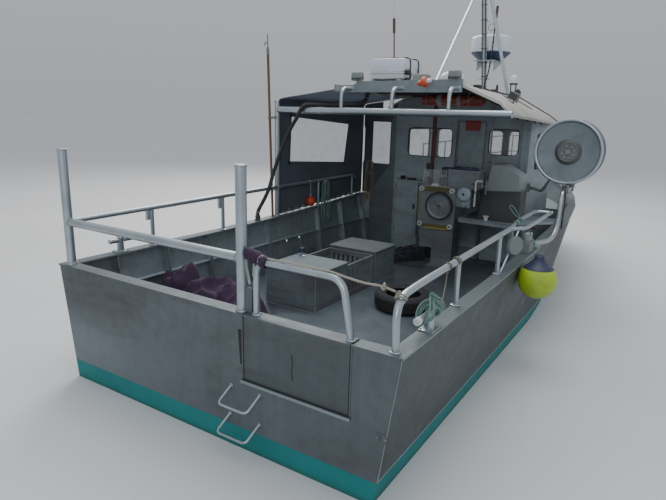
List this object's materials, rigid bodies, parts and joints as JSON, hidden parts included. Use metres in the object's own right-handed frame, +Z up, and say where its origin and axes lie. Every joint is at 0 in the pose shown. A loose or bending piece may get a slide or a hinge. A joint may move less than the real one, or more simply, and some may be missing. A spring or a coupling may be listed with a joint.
{
  "type": "aluminium inshore fishing boat",
  "caption": "Open-decked aluminium inshore fishing boat with a forward wheelhouse, canvas-sided shelter, line and net haulers, lift-out stern gate, rudder and propeller.",
  "frame": {"origin": "on the waterline, at the centre of the transom's outer face", "axes": "+Y forward to the bow, +X to starboard, +Z up"},
  "size_m": [3.711, 9.7631, 5.655],
  "materials": {
    "boot_top": "matt antifouling, weathered",
    "plate": "unpainted, oxidised and scuffed",
    "tube": "brushed, dull",
    "deck_plate": "five-bar tread, worn",
    "house_plate": "unpainted",
    "roof_paint": "matt, weathered",
    "canvas": "woven, coated",
    "clear_vinyl": "clear, slightly hazed",
    "window_glass": "clear",
    "dark_steel": "galvanised, dull",
    "bronze": "cast, tarnished",
    "red_paint": "satin, worn",
    "black_trim": "matt",
    "grey_cover": "matt, dirty",
    "white_gelcoat": "satin gloss",
    "orange_plastic": "faded",
    "lime_vinyl": "inflated vinyl, scuffed",
    "rubber": "worn",
    "green_rope": "laid polypropylene",
    "straw_rope": "laid, old",
    "purple_cloth": "fine mesh cloth, crumpled",
    "engine": "plain block"
  },
  "bodies": {
    "boat": {"hull": "boot_top", "engine_block": "engine", "main_deck": "deck_plate", "fore_body": "plate", "topside_port": "plate", "topside_starboard": "plate", "transom": "plate", "stern_gallows": "tube", "guard_rail_port": "tube", "guard_rail_starboard": "tube", "bow_pulpit": "tube", "canopy_frame": "tube", "roof": "roof_paint", "side_curtain": "canvas", "curtain_window": "clear_vinyl", "passage_screen": "house_plate", "house_aft_wall": "house_plate", "house_front_wall": "house_plate", "house_port_wall": "house_plate", "house_starboard_wall": "house_plate", "glass_aft_port": "window_glass", "glass_aft_starboard": "window_glass", "glass_front": "window_glass", "glass_port": "window_glass", "glass_starboard": "window_glass", "helm_console": "house_plate", "helm_seat": "black_trim", "aft_locker": "house_plate", "hauler_stand": "house_plate", "red_stanchion": "red_paint", "sorting_table": "plate", "sorter_hood": "grey_cover", "box_aft": "plate", "slatted_bin": "plate", "box_fore": "plate", "net_hauler_bracket": "dark_steel", "mast": "tube", "radome": "white_gelcoat", "liferaft": "white_gelcoat", "orange_float": "orange_plastic", "tyre_fender": "rubber", "purple_heap": "purple_cloth", "buoy_starboard": "lime_vinyl", "buoy_rope": "green_rope", "rope_hank_green": "green_rope", "rope_hank_straw": "straw_rope", "hose": "rubber"},
    "propeller": {"propeller": "bronze"},
    "rudder": {"rudder": "dark_steel"},
    "stern_gate": {"stern_gate": "plate"},
    "house_door": {"house_door": "house_plate"},
    "foredeck_hatch": {"foredeck_hatch": "plate"},
    "box_aft_lid": {"box_aft_lid": "plate"},
    "box_fore_lid": {"box_fore_lid": "plate"},
    "helm_wheel": {"helm_wheel": "dark_steel"},
    "hauler_disc": {"hauler_disc": "tube"},
    "hauler_sheave": {"hauler_sheave": "tube"},
    "net_hauler_drum": {"net_hauler_drum": "dark_steel"}
  },
  "joints": [
    {"name": "propeller_turn", "type": "hinge", "parent": "boat", "child": "propeller", "pos_m": [0, 0.7, -0.74], "axis": [0, 1, 0], "continuous": true},
    {"name": "rudder_turn", "type": "hinge", "parent": "boat", "child": "rudder", "pos_m": [0, 0.42, -0.74], "axis": [0, 0, 1], "range_deg": [-35, 35]},
    {"name": "stern_gate_lift", "type": "slide", "parent": "boat", "child": "stern_gate", "axis": [0, 0, 1], "range_m": [0, 0.5]},
    {"name": "house_door_swing", "type": "hinge", "parent": "boat", "child": "house_door", "pos_m": [0.394, 5.246, 1.39], "axis": [0, 0, -1], "range_deg": [0, 90]},
    {"name": "foredeck_hatch_lift", "type": "hinge", "parent": "boat", "child": "foredeck_hatch", "pos_m": [0, 7.728, 1.032], "axis": [-1, 0, 0], "range_deg": [0, 100]},
    {"name": "box_aft_lid_lift", "type": "hinge", "parent": "boat", "child": "box_aft_lid", "pos_m": [-0.87, 2.166, 0.7453], "axis": [0, -1, 0], "range_deg": [0, 100]},
    {"name": "box_fore_lid_lift", "type": "hinge", "parent": "boat", "child": "box_fore_lid", "pos_m": [-0.87, 3.405, 0.7323], "axis": [0, -1, 0], "range_deg": [0, 100]},
    {"name": "helm_turn", "type": "hinge", "parent": "boat", "child": "helm_wheel", "pos_m": [0.68, 6.18, 1.18], "axis": [0, 1, 0], "range_deg": [-525, 525]},
    {"name": "hauler_disc_turn", "type": "hinge", "parent": "boat", "child": "hauler_disc", "pos_m": [0.093, 4.374, 1.194], "axis": [0, 1, 0], "continuous": true},
    {"name": "hauler_sheave_turn", "type": "hinge", "parent": "boat", "child": "hauler_sheave", "pos_m": [0.42, 4.372, 1.38], "axis": [0, 1, 0], "continuous": true},
    {"name": "net_hauler_turn", "type": "hinge", "parent": "boat", "child": "net_hauler_drum", "pos_m": [1.684, 4.2, 2.015], "axis": [0, 1, 0], "continuous": true}
  ],
  "couplings": [
    {"joint": "helm_turn", "follows": "rudder_turn", "ratio": 15}
  ]
}
